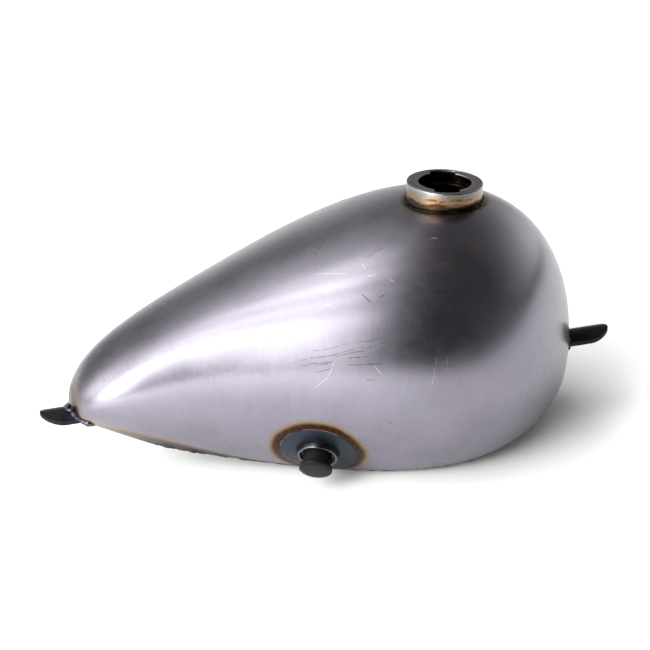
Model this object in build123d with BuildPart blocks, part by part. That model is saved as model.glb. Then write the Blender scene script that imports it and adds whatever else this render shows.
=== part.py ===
"""Teardrop motorcycle fuel tank, welded up from pressed steel sheet, with its fuel bung plugged for storage.

Millimetres. +X points to the front of the motorcycle, +Y to its left and +Z up. The origin lies on the surface
that the tank stands on, under the middle of its overall length.

Two pressed skins meet on the centre line. Their lower edges lap over two floor trays, and a channel between the
trays lets the frame's backbone tube pass. A saddle tab at each end of that channel sits on the same tube.
"""

import os
from math import acos, cos, pi, radians, sin

from build123d import *

# Sheet metal
SHEET = 1.5
FIT_GAP = 0.1  # between pieces that are welded together
SEAM_WIDTH = 2.0  # weld along the crown, ground flush with the skins

# The body is rounded like an egg, with a pole at its front tip and one at its rear tip. Station t runs from -1 at
# the rear tip to 1 at the front tip. Each curve below is a polynomial in t, and sqrt(1 - t^2) rounds its ends.
TANK_LENGTH = 411.0
TIP_HEIGHT = 61.5
TIP_FLAT = 0.35  # how much of each tip is dressed flat
HALF_WIDTH = (110.6, 81.9, -17.2, -83.8)
CROWN_RISE = (115.2, 59.4, 34.5, 11.1)  # top of the body above the tips
KEEL_DROP = (91.7, 42.8, 14.6, 33.9)  # bottom of the whole egg below the tips
WAIST_SHARE = (0.27, -0.146)  # height of the widest line, as a share of the crown's rise
SHOULDER_FULLNESS = 0.196
BILGE_FULLNESS = -0.217

# The underside is a single arc across the tank, which touches the ground a little ahead of the middle
UNDERSIDE_RADIUS = 540.0
LOWEST_AHEAD = 26.5
RIM_SHOWING = 4.5  # height of the tray's rim below the skin's edge
RIM_LAP = 7.0  # height of the tray's rim inside the skin
SEAM_BEAD = 1.7

# Backbone tube of the frame, the channel over it and the saddle tabs on it
TUBE_RADIUS = 15.95
TAB_THICKNESS = 2.5
TAB_HALF_ANGLE = 42.0
TAB_ROUND = 19.0  # length of a tab's rounded end
TAB_INSERT = 16.0  # length of a tab under the channel's roof
FRONT_TAB_REACH = 37.0
REAR_TAB_REACH = 23.0
TAB_WELD = 3.0
TAB_WELD_AHEAD = 6.0  # how far a bead runs out past the tip, along the tab
FRONT_WELD_BACK = 6.0  # how far it runs back over the skin
REAR_WELD_BACK = 12.0

# Filler neck
NECK_STATION = 0.5
NECK_TILT = 4.0  # degrees forward
NECK_RADIUS = 30.0
NECK_HEIGHT = 11.9
NECK_DEPTH = 8.0
THROAT_RADIUS = 20.5
THROAT_LENGTH = 9.0
BAYONET_SEAT_RADIUS = 26.2
BAYONET_MOUTH_RADIUS = 21.0
BAYONET_SHEET = 1.8
BAYONET_CAM_DEPTH = 7.0
BAYONET_NOTCH = 20.0
NOTCH_TURN = 13.0  # degrees from the Y axis
NECK_WELD = 2.6
COLLAR_EDGE = 1.0

# Fuel bung, on the right-hand side, and its plug
BUNG_STATION = -0.129
BUNG_ANGLE = -34.6  # degrees below the skin's widest line
BUNG_RADIUS = 15.5
BUNG_STAND = 4.6
BUNG_DEPTH = 7.0
BUNG_BORE_RADIUS = 11.1
BUNG_RECESS_RADIUS = 13.8
BUNG_RECESS_DEPTH = 3.0
BUNG_EDGE = 0.6
BUNG_WELD = 1.8
PLUG_SHANK_RADIUS = 11.0
PLUG_WALL = 1.8
PLUG_DEPTH = 6.0
PLUG_HEAD_RADIUS = 13.1
PLUG_HEAD_FROM = 12.8
PLUG_HEAD_THICKNESS = 4.0
PLUG_HEAD_ROUND = 1.6

# Worked out from the above
MIDDLE = (REAR_TAB_REACH - FRONT_TAB_REACH) / 2
REAR_TIP = MIDDLE - TANK_LENGTH / 2
FRONT_TIP = MIDDLE + TANK_LENGTH / 2
TAB_RADIUS = TUBE_RADIUS + TAB_THICKNESS
TUBE_AXIS_HEIGHT = TIP_HEIGHT - TAB_RADIUS
CHANNEL_INNER = TAB_RADIUS + FIT_GAP
CHANNEL_OUTER = CHANNEL_INNER + SHEET
COLLAR_INNER = BAYONET_SEAT_RADIUS + BAYONET_SHEET + FIT_GAP
TRAY_INSET = SHEET + 2 * FIT_GAP
REACH = 300.0  # clear of the tank in any direction, for cutting bodies

# Grid that carries the body's surface
STATIONS = 41
TURNS = 25


def polynomial(coefficients, t):
    return sum(c * t**power for power, c in enumerate(coefficients))


def body_point(u, angle):
    """Outside of the left half of the body. u runs from 0 at the rear tip to pi at the front tip, and angle from
    -pi/2 at the keel, through 0 at the widest line, to pi/2 at the crown."""
    t = -cos(u)
    rounding = sin(u)
    half_width = rounding * polynomial(HALF_WIDTH, t)
    crown = rounding * polynomial(CROWN_RISE, t)
    keel = rounding * polynomial(KEEL_DROP, t)
    waist = crown * polynomial(WAIST_SHARE, t)
    up = sin(angle)
    fullness = (SHOULDER_FULLNESS + BILGE_FULLNESS) / 2 + (SHOULDER_FULLNESS - BILGE_FULLNESS) / 2 * up
    mean_height = (crown + keel) / 2
    lean = (crown - keel) / 2 - waist
    return Vector(
        MIDDLE + t * TANK_LENGTH / 2,
        half_width * cos(angle) * (1 + fullness * up**2),
        TIP_HEIGHT + waist + mean_height * up + lean * up**2,
    )


def body_normal(u, angle):
    """Outward unit normal there."""
    step = 1e-4
    if u < step or u > pi - step:
        return Vector(-1 if u < step else 1, 0, 0)
    along = body_point(u + step, angle) - body_point(u - step, angle)
    around = body_point(u, angle + step) - body_point(u, angle - step)
    return around.cross(along).normalized()


def half_body(inset=0.0):
    """The left half of the body, solid, with its surface moved inwards by inset and a small flat at each pole."""
    rows = []
    for j in range(TURNS):
        angle = -pi / 2 + pi * j / (TURNS - 1)
        row = []
        for i in range(STATIONS):
            u = pi * i / (STATIONS - 1)
            point = body_point(u, angle) - body_normal(u, angle) * inset
            on_centre_plane = j in (0, TURNS - 1) or i in (0, STATIONS - 1)
            row.append(Vector(point.X, 0 if on_centre_plane else point.Y, point.Z))
        rows.append(row)
    side = Face.make_surface_from_array_of_points(rows, tol=0.02, min_deg=3, max_deg=5)
    middle = Face(Wire(side.edges()))
    flat_to_flat = TANK_LENGTH - 2 * (inset + TIP_FLAT)
    with BuildPart() as half:
        add(Solid(Shell([side, middle])))
        with Locations((MIDDLE, 0, 0)):
            Box(flat_to_flat, REACH, 2 * REACH, mode=Mode.INTERSECT)
    return half.part


def whole_body(inset=0.0):
    with BuildPart() as body:
        add(half_body(inset))
        mirror(about=Plane.XZ)
    return body.part


def across_band(lift_low, lift_high=None):
    """A slab across the tank between two copies of the underside's arc, or all that is above one. Each copy is
    raised by its lift."""
    lifts = (lift_low,) if lift_high is None else (lift_low, lift_high)
    with BuildPart() as band:
        with BuildSketch(Plane.XZ):
            for lift, mode in zip(lifts, (Mode.ADD, Mode.SUBTRACT)):
                with Locations((MIDDLE + LOWEST_AHEAD, UNDERSIDE_RADIUS + lift)):
                    Circle(UNDERSIDE_RADIUS, mode=mode)
        extrude(amount=REACH, both=True)
    return band.part


def channel_core(radius):
    """The space of the backbone channel: a round roof of that radius over straight walls, open below."""
    with BuildPart() as core:
        with BuildSketch(Plane.YZ):
            with Locations((0, TUBE_AXIS_HEIGHT)):
                Circle(radius)
            with Locations((0, TUBE_AXIS_HEIGHT - REACH / 2)):
                Rectangle(2 * radius, REACH)
        extrude(amount=REACH, both=True)
    return core.part


def channel_slot():
    """The channel's whole width, at every height."""
    with BuildPart() as slot:
        Box(2 * REACH, 2 * (CHANNEL_OUTER + FIT_GAP), 2 * REACH)
    return slot.part


def ring(plane, inner, outer, low, high):
    """A plain ring on a plane, from low to high along its normal."""
    with BuildPart() as made:
        with BuildSketch(plane.offset(low)):
            Circle(outer)
            if inner:
                Circle(inner, mode=Mode.SUBTRACT)
        extrude(amount=high - low)
    return made.part


def finish(part, label):
    part.label = label
    export_step(part, f"parts/{label}.step")


os.makedirs("parts", exist_ok=True)

# Where the two fittings stand on the skin
crown_point = body_point(acos(-NECK_STATION), pi / 2)
neck_plane = Plane(
    origin=crown_point,
    x_dir=(cos(radians(NECK_TILT)), 0, -sin(radians(NECK_TILT))),
    z_dir=(sin(radians(NECK_TILT)), 0, cos(radians(NECK_TILT))),
)
bung_u = acos(-BUNG_STATION)
left_point = body_point(bung_u, radians(BUNG_ANGLE))
left_normal = body_normal(bung_u, radians(BUNG_ANGLE))
bung_plane = Plane(
    origin=(left_point.X, -left_point.Y, left_point.Z),
    x_dir=(-left_normal.Y, -left_normal.X, 0),
    z_dir=(left_normal.X, -left_normal.Y, left_normal.Z),
)

# Bodies that several pieces are cut from
outside = half_body()
inside = half_body(SHEET)
tray_outside = half_body(TRAY_INSET)
tray_inside = half_body(TRAY_INSET + SHEET)
skin_clearance = whole_body(-FIT_GAP)
channel_clearance = channel_core(CHANNEL_OUTER + FIT_GAP)
neck_hole = ring(neck_plane, 0, NECK_RADIUS + FIT_GAP, -NECK_DEPTH, NECK_HEIGHT)
bung_hole = ring(bung_plane, 0, BUNG_RADIUS + FIT_GAP, -BUNG_DEPTH, BUNG_DEPTH)

# Left skin
with BuildPart() as left_shell:
    add(outside)
    add(inside, mode=Mode.SUBTRACT)
    add(across_band(RIM_SHOWING), mode=Mode.INTERSECT)
    add(channel_clearance, mode=Mode.SUBTRACT)
    add(neck_hole, mode=Mode.SUBTRACT)
    with Locations((0, 0, REACH / 2)):
        Box(2 * REACH, SEAM_WIDTH + 2 * FIT_GAP, REACH, mode=Mode.SUBTRACT)
finish(left_shell.part, "left_shell")

# Right skin, with a hole for the bung
with BuildPart() as right_shell:
    add(left_shell.part)
    mirror(about=Plane.XZ, mode=Mode.REPLACE)
    add(bung_hole, mode=Mode.SUBTRACT)
finish(right_shell.part, "right_shell")

# Weld along the crown, from tip to tip, with a break at the neck
with BuildPart() as crown_weld:
    add(whole_body(FIT_GAP / 2))
    add(whole_body(SHEET - FIT_GAP / 2), mode=Mode.SUBTRACT)
    with Locations((0, 0, TIP_HEIGHT + REACH / 2)):
        Box(2 * REACH, SEAM_WIDTH, REACH, mode=Mode.INTERSECT)
    add(channel_clearance, mode=Mode.SUBTRACT)
    add(neck_hole, mode=Mode.SUBTRACT)
finish(crown_weld.part, "crown_weld")

# Floor trays: a flat-bottomed pan each side of the channel, with a rim inside the skin
with BuildPart() as tray_hollow:
    add(tray_inside)
    add(across_band(SHEET), mode=Mode.INTERSECT)

with BuildPart() as left_tray:
    add(tray_outside)
    add(across_band(0, RIM_SHOWING + RIM_LAP), mode=Mode.INTERSECT)
    add(tray_hollow.part, mode=Mode.SUBTRACT)
    add(channel_slot(), mode=Mode.SUBTRACT)
finish(left_tray.part, "left_tray")

with BuildPart() as right_tray:
    add(left_tray.part)
    mirror(about=Plane.XZ, mode=Mode.REPLACE)
finish(right_tray.part, "right_tray")

# Channel over the backbone tube
with BuildPart() as channel:
    add(channel_core(CHANNEL_OUTER))
    add(channel_core(CHANNEL_INNER), mode=Mode.SUBTRACT)
    add(across_band(0), mode=Mode.INTERSECT)
    add(whole_body(), mode=Mode.INTERSECT)
finish(channel.part, "tube_channel")

# Weld beads along the skin's lower edge, on the tray's rim
with BuildPart() as left_seam_weld:
    add(half_body(-FIT_GAP))
    add(half_body(TRAY_INSET - FIT_GAP), mode=Mode.SUBTRACT)
    add(across_band(RIM_SHOWING - SEAM_BEAD, RIM_SHOWING - FIT_GAP), mode=Mode.INTERSECT)
    add(channel_slot(), mode=Mode.SUBTRACT)
finish(left_seam_weld.part, "left_seam_weld")

with BuildPart() as right_seam_weld:
    add(left_seam_weld.part)
    mirror(about=Plane.XZ, mode=Mode.REPLACE)
finish(right_seam_weld.part, "right_seam_weld")


def saddle_tab(root, tip):
    """A tongue on top of the backbone tube, from root to tip along X, with the tip end rounded as seen from
    above. Root and tip may lie either way round."""
    low, high = min(root, tip), max(root, tip)
    towards = 1 if tip > root else -1
    half_width = TAB_RADIUS * sin(radians(TAB_HALF_ANGLE))
    round_start = tip - towards * TAB_ROUND
    with BuildPart() as tab:
        with BuildSketch(Plane.YZ.offset(low)):
            with Locations((0, TUBE_AXIS_HEIGHT)):
                Circle(TAB_RADIUS)
                Circle(TUBE_RADIUS, mode=Mode.SUBTRACT)
        extrude(amount=high - low)
        with BuildSketch(Plane.XY.offset(TUBE_AXIS_HEIGHT)):
            with BuildLine():
                Polyline(
                    (round_start, half_width),
                    (root, half_width),
                    (root, -half_width),
                    (round_start, -half_width),
                )
                Spline(
                    (round_start, half_width),
                    (tip, 0),
                    (round_start, -half_width),
                    tangents=[(towards, 0), (0, -1), (-towards, 0)],
                )
            make_face()
        extrude(amount=TAB_RADIUS, mode=Mode.INTERSECT)
    return tab.part


front_tab = saddle_tab(FRONT_TIP - TAB_INSERT, FRONT_TIP + FRONT_TAB_REACH)
finish(front_tab, "front_tab")
rear_tab = saddle_tab(REAR_TIP + TAB_INSERT, REAR_TIP - REAR_TAB_REACH)
finish(rear_tab, "rear_tab")


def tab_weld(start, end):
    """A bead round the skin's end, over a tab's root. It follows the skin between start and end along X."""
    with BuildPart() as bead:
        with BuildSketch(Plane.YZ.offset(start)):
            with Locations((0, TUBE_AXIS_HEIGHT)):
                Circle(TAB_RADIUS + FIT_GAP + TAB_WELD)
                Circle(TAB_RADIUS + FIT_GAP, mode=Mode.SUBTRACT)
        extrude(amount=end - start)
        add(whole_body(-TAB_WELD), mode=Mode.INTERSECT)
        add(skin_clearance, mode=Mode.SUBTRACT)
        with Locations((0, 0, TUBE_AXIS_HEIGHT + TAB_RADIUS * cos(radians(TAB_HALF_ANGLE)) + REACH / 2)):
            Box(2 * REACH, REACH, REACH, mode=Mode.INTERSECT)
    return bead.part


finish(tab_weld(FRONT_TIP - FRONT_WELD_BACK, FRONT_TIP + TAB_WELD_AHEAD), "front_tab_weld")
finish(tab_weld(REAR_TIP - TAB_WELD_AHEAD, REAR_TIP + REAR_WELD_BACK), "rear_tab_weld")

# Filler collar, standing in the crown
with BuildPart() as filler_collar:
    with BuildSketch(neck_plane.offset(-NECK_DEPTH)):
        Circle(NECK_RADIUS)
        Circle(COLLAR_INNER, mode=Mode.SUBTRACT)
    extrude(amount=NECK_DEPTH + NECK_HEIGHT)
    rims = filler_collar.edges().filter_by(GeomType.CIRCLE)
    upper_rims = rims.sort_by(Axis(neck_plane.origin, neck_plane.z_dir))[-2:]
    fillet(upper_rims.sort_by(SortBy.RADIUS)[-1], COLLAR_EDGE)
finish(filler_collar.part, "filler_collar")

# Bayonet ring for a quarter-turn cap, pressed into the collar: a lip with two notches, a chamber where the cap's
# ears turn, and a round throat below
lip_under = NECK_HEIGHT - BAYONET_SHEET
chamber_floor = lip_under - BAYONET_CAM_DEPTH
throat_end = chamber_floor - THROAT_LENGTH
seat_outer = BAYONET_SEAT_RADIUS + BAYONET_SHEET
throat_outer = THROAT_RADIUS + BAYONET_SHEET
section_plane = Plane(origin=neck_plane.origin, x_dir=neck_plane.x_dir, z_dir=-neck_plane.y_dir)
with BuildPart() as bayonet_ring:
    with BuildSketch(section_plane):
        with BuildLine():
            Polyline(
                (BAYONET_MOUTH_RADIUS, NECK_HEIGHT),
                (seat_outer, NECK_HEIGHT),
                (seat_outer, chamber_floor - BAYONET_SHEET),
                (throat_outer, chamber_floor - BAYONET_SHEET),
                (throat_outer, throat_end),
                (THROAT_RADIUS, throat_end),
                (THROAT_RADIUS, chamber_floor),
                (BAYONET_SEAT_RADIUS, chamber_floor),
                (BAYONET_SEAT_RADIUS, lip_under),
                (BAYONET_MOUTH_RADIUS, lip_under),
                close=True,
            )
        make_face()
    revolve(axis=Axis(neck_plane.origin, neck_plane.z_dir))
    with BuildSketch(neck_plane.offset(lip_under)):
        Rectangle(2 * BAYONET_SEAT_RADIUS, BAYONET_NOTCH, rotation=90 - NOTCH_TURN)
        Circle(BAYONET_SEAT_RADIUS, mode=Mode.INTERSECT)
    extrude(amount=2 * BAYONET_SHEET, mode=Mode.SUBTRACT)
finish(bayonet_ring.part, "bayonet_ring")

# Weld bead round the foot of the collar
with BuildPart() as neck_weld:
    add(ring(neck_plane, NECK_RADIUS + FIT_GAP, NECK_RADIUS + FIT_GAP + NECK_WELD, -NECK_DEPTH, NECK_HEIGHT))
    add(whole_body(-NECK_WELD), mode=Mode.INTERSECT)
    add(skin_clearance, mode=Mode.SUBTRACT)
finish(neck_weld.part, "neck_weld")

# Fuel bung, a turned steel ring with a recess round the mouth of its bore
bung_axis = Axis(bung_plane.origin, bung_plane.z_dir)
with BuildPart() as fuel_bung:
    with BuildSketch(bung_plane.offset(-BUNG_DEPTH)):
        Circle(BUNG_RADIUS)
        Circle(BUNG_BORE_RADIUS, mode=Mode.SUBTRACT)
    extrude(amount=BUNG_DEPTH + BUNG_STAND)
    with BuildSketch(bung_plane.offset(BUNG_STAND - BUNG_RECESS_DEPTH)):
        Circle(BUNG_RECESS_RADIUS)
    extrude(amount=BUNG_RECESS_DEPTH, mode=Mode.SUBTRACT)
    mouth_rims = fuel_bung.edges().filter_by(GeomType.CIRCLE).sort_by(bung_axis)[-2:]
    chamfer(mouth_rims.sort_by(SortBy.RADIUS)[-1], BUNG_EDGE)
finish(fuel_bung.part, "fuel_bung")

with BuildPart() as bung_weld:
    add(ring(bung_plane, BUNG_RADIUS + FIT_GAP, BUNG_RADIUS + FIT_GAP + BUNG_WELD, -BUNG_DEPTH, BUNG_DEPTH))
    add(whole_body(-BUNG_WELD), mode=Mode.INTERSECT)
    add(skin_clearance, mode=Mode.SUBTRACT)
finish(bung_weld.part, "bung_weld")

# Storage plug, a moulded cap that is hollow from inside the tank
with BuildPart() as bung_plug:
    with BuildSketch(bung_plane.offset(-PLUG_DEPTH)):
        Circle(PLUG_SHANK_RADIUS)
    extrude(amount=PLUG_DEPTH + PLUG_HEAD_FROM)
    with BuildSketch(bung_plane.offset(PLUG_HEAD_FROM)):
        Circle(PLUG_HEAD_RADIUS)
    extrude(amount=PLUG_HEAD_THICKNESS)
    outer_rim = bung_plug.edges().filter_by(GeomType.CIRCLE).sort_by(bung_axis)[-1]
    fillet(outer_rim, PLUG_HEAD_ROUND)
    with BuildSketch(bung_plane.offset(-PLUG_DEPTH)):
        Circle(PLUG_SHANK_RADIUS - PLUG_WALL)
    extrude(amount=PLUG_DEPTH + PLUG_HEAD_FROM + PLUG_HEAD_THICKNESS - 2 * PLUG_WALL, mode=Mode.SUBTRACT)
finish(bung_plug.part, "bung_plug")
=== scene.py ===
"""Looks for a teardrop motorcycle fuel tank in bare steel. Metres, in the CAD model's frame: +X to the front,
+Y to the left, +Z up, with the origin on the floor under the middle of the overall length."""

from math import acos, asin, cos, pi, radians, sin, sqrt

import bmesh
import bpy
import numpy as np
from mathutils import Matrix, Vector, noise
from mathutils.bvhtree import BVHTree


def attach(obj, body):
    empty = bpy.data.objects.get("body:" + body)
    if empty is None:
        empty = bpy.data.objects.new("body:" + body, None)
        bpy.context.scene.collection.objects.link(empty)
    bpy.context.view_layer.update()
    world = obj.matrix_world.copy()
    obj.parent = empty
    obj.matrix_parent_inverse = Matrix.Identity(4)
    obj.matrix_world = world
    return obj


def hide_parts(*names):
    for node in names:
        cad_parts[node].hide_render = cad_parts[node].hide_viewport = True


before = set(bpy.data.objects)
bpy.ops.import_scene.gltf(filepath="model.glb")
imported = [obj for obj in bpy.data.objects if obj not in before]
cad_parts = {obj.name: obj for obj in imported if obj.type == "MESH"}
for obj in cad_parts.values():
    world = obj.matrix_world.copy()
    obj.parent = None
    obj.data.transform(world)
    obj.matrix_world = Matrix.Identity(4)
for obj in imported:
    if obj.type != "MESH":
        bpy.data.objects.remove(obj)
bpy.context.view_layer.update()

# ---- The tank's form, as in the CAD model ----
SHEET = 0.0015
GAP = 0.0001
CROWN_STRIP = 0.002

TANK_LENGTH = 0.411
MIDDLE = -0.007  # halfway between the tips, as the front tab reaches further out than the rear one
TIP_HEIGHT = 0.0615
HALF_WIDTH = (0.1106, 0.0819, -0.0172, -0.0838)
CROWN_RISE = (0.1152, 0.0594, 0.0345, 0.0111)
KEEL_DROP = (0.0917, 0.0428, 0.0146, 0.0339)
WAIST_SHARE = (0.27, -0.146)
SHOULDER_FULLNESS = 0.196
BILGE_FULLNESS = -0.217
REAR_TIP = MIDDLE - TANK_LENGTH / 2
FRONT_TIP = MIDDLE + TANK_LENGTH / 2

UNDERSIDE_RADIUS = 0.540
UNDERSIDE_MIDDLE = MIDDLE + 0.0265
RIM_SHOWING = 0.0045
RIM_LAP = 0.007

TUBE_RADIUS = 0.01595
TAB_RADIUS = 0.01845
TAB_HALF_ANGLE = radians(42)
TAB_ROUND = 0.019
TAB_INSERT = 0.016
FRONT_TAB_REACH = 0.037
REAR_TAB_REACH = 0.023
TUBE_AXIS_HEIGHT = TIP_HEIGHT - TAB_RADIUS
CHANNEL_INNER = TAB_RADIUS + GAP
CHANNEL_OUTER = CHANNEL_INNER + SHEET

NECK_STATION = 0.5
NECK_TILT = radians(4)
NECK_RADIUS = 0.030
NECK_HEIGHT = 0.0119
NECK_DEPTH = 0.008
SEAT_RADIUS = 0.0262
MOUTH_RADIUS = 0.021
RING_SHEET = 0.0018
CAM_DEPTH = 0.007
THROAT_RADIUS = 0.0205
THROAT_LENGTH = 0.009
NOTCH_WIDTH = 0.020
NOTCH_TURN = radians(13)

BUNG_STATION = -0.129
BUNG_ANGLE = radians(-34.6)
BUNG_RADIUS = 0.0155
BUNG_STAND = 0.0046
BUNG_DEPTH = 0.007
BUNG_BORE = 0.0111
BUNG_RECESS = 0.0138
BUNG_RECESS_DEPTH = 0.003
PLUG_SHANK = 0.0110
PLUG_WALL = 0.0018
PLUG_DEPTH = 0.006
PLUG_HEAD = 0.0131
PLUG_HEAD_FROM = 0.0128
PLUG_HEAD_THICKNESS = 0.004


def polynomial(coefficients, t):
    return sum(c * t**power for power, c in enumerate(coefficients))


def body_point(u, angle, inset=0.0):
    """The left half of the body as an array of points, moved inwards by inset. u and angle are arrays."""
    t = -np.cos(u)
    rounding = np.sin(u)
    half_width = rounding * polynomial(HALF_WIDTH, t)
    crown = rounding * polynomial(CROWN_RISE, t)
    keel = rounding * polynomial(KEEL_DROP, t)
    waist = crown * polynomial(WAIST_SHARE, t)
    up = np.sin(angle)
    fullness = (SHOULDER_FULLNESS + BILGE_FULLNESS) / 2 + (SHOULDER_FULLNESS - BILGE_FULLNESS) / 2 * up
    mean_height = (crown + keel) / 2
    lean = (crown - keel) / 2 - waist
    point = np.stack(
        np.broadcast_arrays(
            MIDDLE + t * TANK_LENGTH / 2,
            half_width * np.cos(angle) * (1 + fullness * up**2),
            TIP_HEIGHT + waist + mean_height * up + lean * up**2,
        ),
        axis=-1,
    )
    if inset:
        point = point - inset * body_normal(u, angle)
    return point


def body_normal(u, angle):
    """Outward unit normals of the left half."""
    step = 1e-4
    along = body_point(u + step, angle) - body_point(u - step, angle)
    around = body_point(u, angle + step) - body_point(u, angle - step)
    normal = np.cross(around, along)
    return normal / np.linalg.norm(normal, axis=-1, keepdims=True)


def underside_height(x):
    """Height of the trays' underside over the floor."""
    return UNDERSIDE_RADIUS - np.sqrt(UNDERSIDE_RADIUS**2 - (x - UNDERSIDE_MIDDLE) ** 2)


def angle_at_rim(u, lift, inset=0.0):
    """Angle at which the body's section meets the underside's arc raised by lift, by bisection."""
    low = np.full_like(u, -pi / 2)
    high = np.full_like(u, pi / 2)
    for _ in range(40):
        middle = (low + high) / 2
        point = body_point(u, middle, inset)
        below = point[..., 2] < underside_height(point[..., 0]) + lift
        low = np.where(below, middle, low)
        high = np.where(below, high, middle)
    return (low + high) / 2


def angle_at_strip(u, offset):
    """Angle at which the upper section comes within offset of the centre plane."""
    low = np.full_like(u, pi / 4)
    high = np.full_like(u, pi / 2)
    for _ in range(40):
        middle = (low + high) / 2
        outside = body_point(u, middle)[..., 1] > offset
        low = np.where(outside, middle, low)
        high = np.where(outside, high, middle)
    return (low + high) / 2


# ---- Mesh helpers ----
def make_object(name, points, faces, smooth_angle=35):
    mesh = bpy.data.meshes.new(name)
    mesh.from_pydata([tuple(p) for p in points], [], faces)
    mesh.validate()
    tidy = bmesh.new()
    tidy.from_mesh(mesh)
    bmesh.ops.remove_doubles(tidy, verts=tidy.verts, dist=1e-6)
    bmesh.ops.recalc_face_normals(tidy, faces=tidy.faces)
    tidy.to_mesh(mesh)
    tidy.free()
    obj = bpy.data.objects.new(name, mesh)
    bpy.context.scene.collection.objects.link(obj)
    smooth(obj, smooth_angle)
    return obj


def smooth(obj, angle):
    """Smooth shading, broken at edges sharper than the angle in degrees."""
    edit = bmesh.new()
    edit.from_mesh(obj.data)
    for face in edit.faces:
        face.smooth = True
    for edge in edit.edges:
        if len(edge.link_faces) == 2:
            edge.smooth = edge.calc_face_angle(0) < radians(angle)
    edit.to_mesh(obj.data)
    edit.free()


def grid_faces(rows, columns, start=0, wrap_columns=False):
    faces = []
    for r in range(rows - 1):
        for c in range(columns if wrap_columns else columns - 1):
            n = (c + 1) % columns
            faces.append((
                start + r * columns + c,
                start + r * columns + n,
                start + (r + 1) * columns + n,
                start + (r + 1) * columns + c,
            ))
    return faces


def mirrored(points):
    return points * np.array([1, -1, 1])


def thick_grid(name, outer, inner):
    """A closed sheet between two grids of points of the same shape (rows, columns, 3)."""
    rows, columns = outer.shape[:2]
    points = np.concatenate([outer.reshape(-1, 3), inner.reshape(-1, 3)])
    count = rows * columns
    faces = grid_faces(rows, columns)
    faces += [tuple(reversed(f)) for f in grid_faces(rows, columns, start=count)]
    rim = [(r, 0) for r in range(rows)] + [(rows - 1, c) for c in range(1, columns)]
    rim += [(r, columns - 1) for r in range(rows - 2, -1, -1)]
    rim += [(0, c) for c in range(columns - 2, 0, -1)]
    edge = [r * columns + c for r, c in rim]
    for a, b in zip(edge, edge[1:] + edge[:1]):
        faces.append((a, b, b + count, a + count))
    return make_object(name, points, faces)


def frame_axes(normal):
    """Two unit vectors across a normal. The first is level."""
    across = Vector((0, 0, 1)).cross(normal)
    across = across.normalized() if across.length > 1e-3 else Vector((1, 0, 0))
    return across, normal.cross(across)


def rounded(outline, radius, steps=4):
    """A closed outline with each corner replaced by a small arc. A corner may give a radius of its own."""
    result = []
    count = len(outline)
    for i in range(count):
        corner = Vector(outline[i][:2])
        size = outline[i][2] if len(outline[i]) > 2 else radius
        before = Vector(outline[i - 1][:2]) - corner
        after = Vector(outline[(i + 1) % count][:2]) - corner
        if size <= 0:
            result.append(tuple(corner))
            continue
        half_turn = before.angle(after) / 2
        reach = min(size / np.tan(half_turn), before.length * 0.45, after.length * 0.45)
        start = corner + before.normalized() * reach
        end = corner + after.normalized() * reach
        for k in range(steps + 1):
            f = k / steps
            result.append(tuple(start * (1 - f) ** 2 + corner * 2 * f * (1 - f) + end * f**2))
    return result


def lathe(name, outline, origin, normal, steps=144, wobble=None):
    """Turns a closed outline of (radius, height) about the normal through origin."""
    across, up = frame_axes(normal)
    points = []
    for r, h in outline:
        for k in range(steps):
            turn = 2 * pi * k / steps
            radius, height = wobble(r, h, turn) if wobble else (r, h)
            points.append(origin + normal * height + (across * cos(turn) + up * sin(turn)) * radius)
    rows = len(outline)
    faces = grid_faces(rows, steps, wrap_columns=True)
    if min(outline[0][0], outline[-1][0]) > 1e-6 or len(set(outline)) != rows:
        for k in range(steps):
            n = (k + 1) % steps
            faces.append(((rows - 1) * steps + k, (rows - 1) * steps + n, n, k))
    return make_object(name, points, faces)


def prism(name, outline, low, high, place):
    """A closed prism: an outline of (a, b) from low to high, where place(a, b, c) gives the point."""
    count = len(outline)
    points = [place(a, b, low) for a, b in outline] + [place(a, b, high) for a, b in outline]
    faces = [tuple(range(count - 1, -1, -1)), tuple(range(count, 2 * count))]
    for k in range(count):
        n = (k + 1) % count
        faces.append((k, n, count + n, count + k))
    return make_object(name, points, faces)


def cut(obj, *cutters):
    """Takes the cutters out of obj."""
    for cutter in cutters:
        modifier = obj.modifiers.new("cut", "BOOLEAN")
        modifier.operation = "DIFFERENCE"
        modifier.solver = "EXACT"
        modifier.object = cutter
        apply_modifiers(obj)
    return obj


def apply_modifiers(obj):
    depsgraph = bpy.context.evaluated_depsgraph_get()
    mesh = bpy.data.meshes.new_from_object(obj.evaluated_get(depsgraph))
    old = obj.data
    obj.modifiers.clear()
    obj.data = mesh
    mesh.name = obj.name
    bpy.data.meshes.remove(old)


def discard(*objects):
    for obj in objects:
        mesh = obj.data
        bpy.data.objects.remove(obj)
        bpy.data.meshes.remove(mesh)


# ---- Where the fittings stand ----
neck_u = acos(-NECK_STATION)
neck_foot = Vector(body_point(np.float64(neck_u), np.float64(pi / 2)))
neck_foot.y = 0
neck_axis = Vector((sin(NECK_TILT), 0, cos(NECK_TILT)))
bung_u = acos(-BUNG_STATION)
bung_foot = Vector(mirrored(body_point(np.float64(bung_u), np.float64(BUNG_ANGLE))))
bung_axis = Vector(mirrored(body_normal(np.float64(bung_u), np.float64(BUNG_ANGLE))))

ARCH_STEPS = 48
BELOW_FLOOR = -0.05
NECK_DRILL_REACH = 0.02
BUNG_DRILL_REACH = 0.01
ON_AXIS = 1e-7  # a lathe outline's radius at the axis


def channel_outline(radius, floor):
    """Arch over straight legs, as (y, z) points."""
    arch = []
    for k in range(ARCH_STEPS + 1):
        turn = pi * k / ARCH_STEPS
        arch.append((radius * cos(turn), TUBE_AXIS_HEIGHT + radius * sin(turn)))
    return arch + [(-radius, floor), (radius, floor)]


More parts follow.
